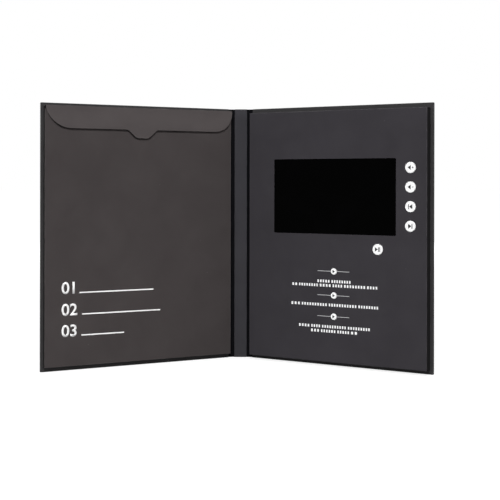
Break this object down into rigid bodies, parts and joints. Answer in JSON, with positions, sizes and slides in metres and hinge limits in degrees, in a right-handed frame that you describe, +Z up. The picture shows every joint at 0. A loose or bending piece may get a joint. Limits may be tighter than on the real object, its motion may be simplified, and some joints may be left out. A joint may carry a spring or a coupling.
{
  "type": "lcd video brochure",
  "caption": "Hard-cover video brochure standing open: a document pocket with a tabbed flap in one cover, a screen with round push buttons in the other.",
  "frame": {"origin": "middle of the footprint of the open brochure, on the surface that its lower edges stand on", "axes": "+Z up, along the spine; +X towards the back cover with the screen; the reader looks along +Y at the inside"},
  "size_m": [0.3206, 0.088, 0.22],
  "materials": {
    "greyboard": "matte",
    "wrap_paper": "matte",
    "liner_paper": "matte",
    "module_card": "matte",
    "filler_card": "matte",
    "face_card": "matte",
    "screen_black": "gloss",
    "steel": "satin",
    "screen_glass": "gloss",
    "diffuser": "matte",
    "ribbon": "satin",
    "circuit_board": "satin",
    "chip": "matte",
    "can": "satin",
    "battery_foil": "satin",
    "foam": "matte",
    "lead_sheath": "matte",
    "magnet": "polished",
    "cone_paper": "matte",
    "pocket_card": "matte",
    "button_white": "satin"
  },
  "bodies": {
    "back_cover": {"back_cover_board": "greyboard", "back_cover_wrap": "wrap_paper", "back_endpaper": "liner_paper", "block_base": "module_card", "filler_tray": "filler_card", "face_card": "face_card", "screen_lens": "screen_black", "screen_bezel": "steel", "screen_cell": "screen_glass", "backlight": "diffuser", "screen_ribbon": "ribbon", "main_circuit_board": "circuit_board", "processor_chip": "chip", "memory_chip": "chip", "amplifier_chip": "chip", "board_capacitors": "can", "magnetic_switch": "chip", "usb_socket": "steel", "battery_cell": "battery_foil", "battery_pad": "foam", "battery_leads": "lead_sheath", "speaker_frame": "steel", "speaker_magnet": "magnet", "speaker_cone": "cone_paper", "speaker_leads": "lead_sheath", "key_circuit_board": "circuit_board", "key_ribbon": "ribbon", "key_switches": "chip", "chapter_circuit_board": "circuit_board", "chapter_ribbon": "ribbon", "chapter_switches": "chip"},
    "spine": {"spine_board": "greyboard", "spine_wrap": "wrap_paper", "spine_liner": "liner_paper"},
    "front_cover": {"front_cover_board": "greyboard", "front_cover_wrap": "wrap_paper", "front_endpaper": "liner_paper", "trigger_magnet": "magnet", "pocket_back_panel": "pocket_card", "pocket_front_panel": "pocket_card", "pocket_inner_gusset": "pocket_card", "pocket_outer_gusset": "pocket_card", "pocket_tail_gusset": "pocket_card"},
    "flap_strip": {"flap_strip": "pocket_card"},
    "pocket_flap": {"pocket_flap": "pocket_card"},
    "volume_up_button": {"volume_up_button": "button_white"},
    "volume_down_button": {"volume_down_button": "button_white"},
    "previous_button": {"previous_button": "button_white"},
    "next_button": {"next_button": "button_white"},
    "play_pause_button": {"play_pause_button": "button_white"},
    "chapter_button_1": {"chapter_button_1": "button_white"},
    "chapter_button_2": {"chapter_button_2": "button_white"},
    "chapter_button_3": {"chapter_button_3": "button_white"}
  },
  "joints": [
    {"name": "spine_hinge", "type": "hinge", "parent": "back_cover", "child": "spine", "pos_m": [0.0091, 0.04237, 0], "axis": [0, 0, 1], "range_deg": [-27.6, 62.4]},
    {"name": "front_cover_hinge", "type": "hinge", "parent": "spine", "child": "front_cover", "pos_m": [-0.0091, 0.04237, 0], "axis": [0, 0, 1], "range_deg": [-27.6, 62.4]},
    {"name": "flap_strip_fold", "type": "hinge", "parent": "front_cover", "child": "flap_strip", "pos_m": [-0.01039, 0.03955, 0.2175], "axis": [-0.8862, -0.4633, 0], "range_deg": [0, 90]},
    {"name": "flap_fold", "type": "hinge", "parent": "flap_strip", "child": "pocket_flap", "pos_m": [-0.00824, 0.03543, 0.2175], "axis": [-0.8862, -0.4633, 0], "range_deg": [0, 120]},
    {"name": "volume_up_press", "type": "slide", "parent": "back_cover", "child": "volume_up_button", "axis": [0.4633, 0.8862, 0], "range_m": [0, 0.0005], "stiffness_N_per_m": 600, "springref_m": -0.0003},
    {"name": "volume_down_press", "type": "slide", "parent": "back_cover", "child": "volume_down_button", "axis": [0.4633, 0.8862, 0], "range_m": [0, 0.0005], "stiffness_N_per_m": 600, "springref_m": -0.0003},
    {"name": "previous_press", "type": "slide", "parent": "back_cover", "child": "previous_button", "axis": [0.4633, 0.8862, 0], "range_m": [0, 0.0005], "stiffness_N_per_m": 600, "springref_m": -0.0003},
    {"name": "next_press", "type": "slide", "parent": "back_cover", "child": "next_button", "axis": [0.4633, 0.8862, 0], "range_m": [0, 0.0005], "stiffness_N_per_m": 600, "springref_m": -0.0003},
    {"name": "play_pause_press", "type": "slide", "parent": "back_cover", "child": "play_pause_button", "axis": [0.4633, 0.8862, 0], "range_m": [0, 0.0005], "stiffness_N_per_m": 600, "springref_m": -0.0003},
    {"name": "chapter_1_press", "type": "slide", "parent": "back_cover", "child": "chapter_button_1", "axis": [0.4633, 0.8862, 0], "range_m": [0, 0.0005], "stiffness_N_per_m": 600, "springref_m": -0.0003},
    {"name": "chapter_2_press", "type": "slide", "parent": "back_cover", "child": "chapter_button_2", "axis": [0.4633, 0.8862, 0], "range_m": [0, 0.0005], "stiffness_N_per_m": 600, "springref_m": -0.0003},
    {"name": "chapter_3_press", "type": "slide", "parent": "back_cover", "child": "chapter_button_3", "axis": [0.4633, 0.8862, 0], "range_m": [0, 0.0005], "stiffness_N_per_m": 600, "springref_m": -0.0003}
  ]
}
